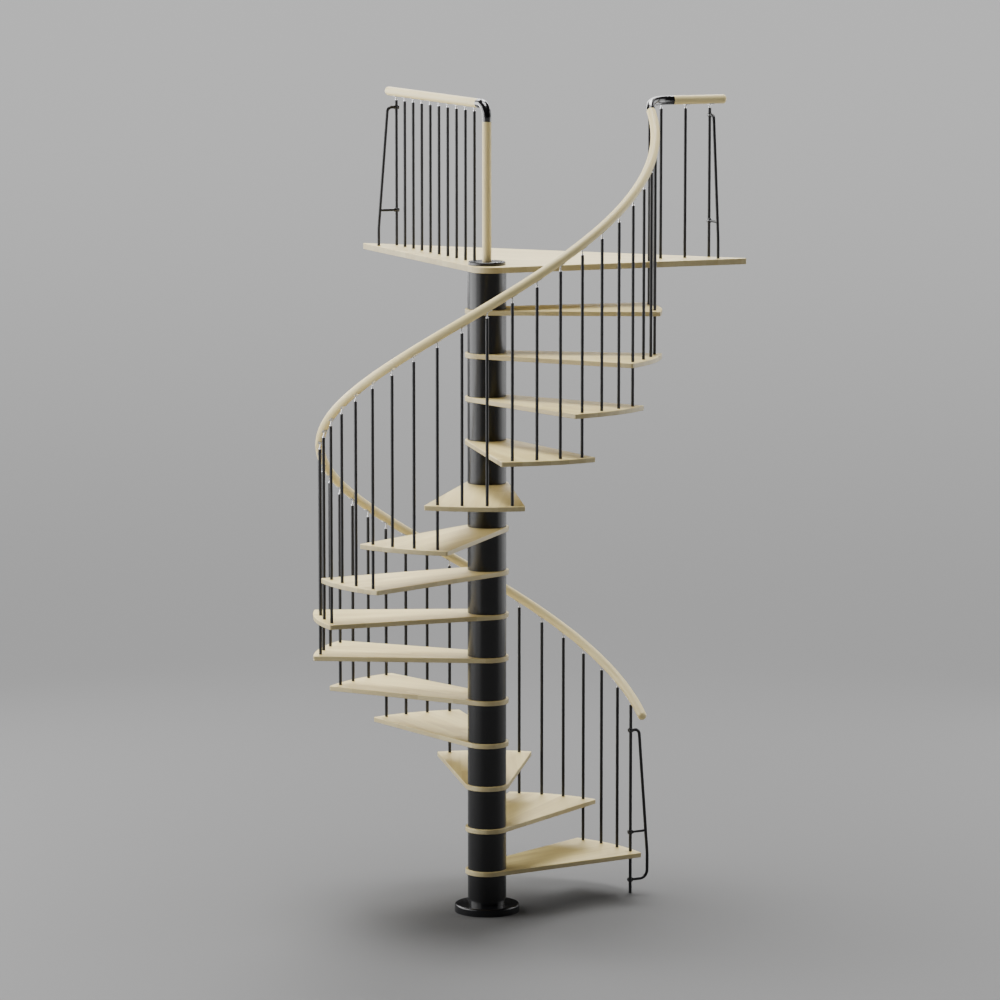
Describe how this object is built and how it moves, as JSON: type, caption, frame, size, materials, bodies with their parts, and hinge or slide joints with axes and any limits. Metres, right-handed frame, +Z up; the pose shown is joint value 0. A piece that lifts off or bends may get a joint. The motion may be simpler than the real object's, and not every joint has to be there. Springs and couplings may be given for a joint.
{
  "type": "spiral staircase",
  "caption": "Spiral staircase with a black central column, round-ended wooden treads, a three-cornered wooden landing board, black rod balusters and a round wooden handrail.",
  "frame": {"origin": "on the floor, at the centre of the base flange's underside, on the column's axis", "axes": "+Z up the column; X along the landing board's long edge, which is on the +Y side; the flight climbs counterclockwise seen from above"},
  "size_m": [2.1686, 1.8458, 4.1244],
  "materials": {
    "treads": "satin lacquered beech",
    "landing": "satin lacquered beech",
    "rail_wood": "satin lacquered beech",
    "column": "satin black powder coat",
    "castings": "gloss black",
    "core": "plain, hidden in the column",
    "rods": "satin black powder coat",
    "elbows": "gloss black",
    "clamps": "gloss black",
    "pins": "polished"
  },
  "bodies": {
    "root": {"tread_01": "treads", "tread_02": "treads", "tread_03": "treads", "tread_04": "treads", "tread_05": "treads", "tread_06": "treads", "tread_07": "treads", "tread_08": "treads", "tread_09": "treads", "tread_10": "treads", "tread_11": "treads", "tread_12": "treads", "tread_13": "treads", "tread_14": "treads", "landing_board": "landing", "column_spacers_lower": "column", "column_spacers_middle": "column", "column_spacers_upper": "column", "base_flange": "castings", "top_cap": "castings", "centre_pole": "core", "flight_balusters_1": "rods", "handrail_1": "rail_wood", "flight_balusters_2": "rods", "handrail_2": "rail_wood", "flight_balusters_3": "rods", "handrail_3": "rail_wood", "flight_balusters_4": "rods", "handrail_4": "rail_wood", "flight_balusters_5": "rods", "handrail_5": "rail_wood", "landing_balusters_left": "rods", "landing_balusters_right": "rods", "newel_post": "rail_wood", "landing_rail_left": "rail_wood", "landing_rail_right": "rail_wood", "newel_elbow": "elbows", "rail_elbow_right": "elbows", "rail_pins_flight": "pins", "rail_pins_landing": "pins", "brace_left": "rods", "brace_right": "rods", "brace_lower": "rods", "brace_clamps": "clamps"}
  },
  "joints": []
}
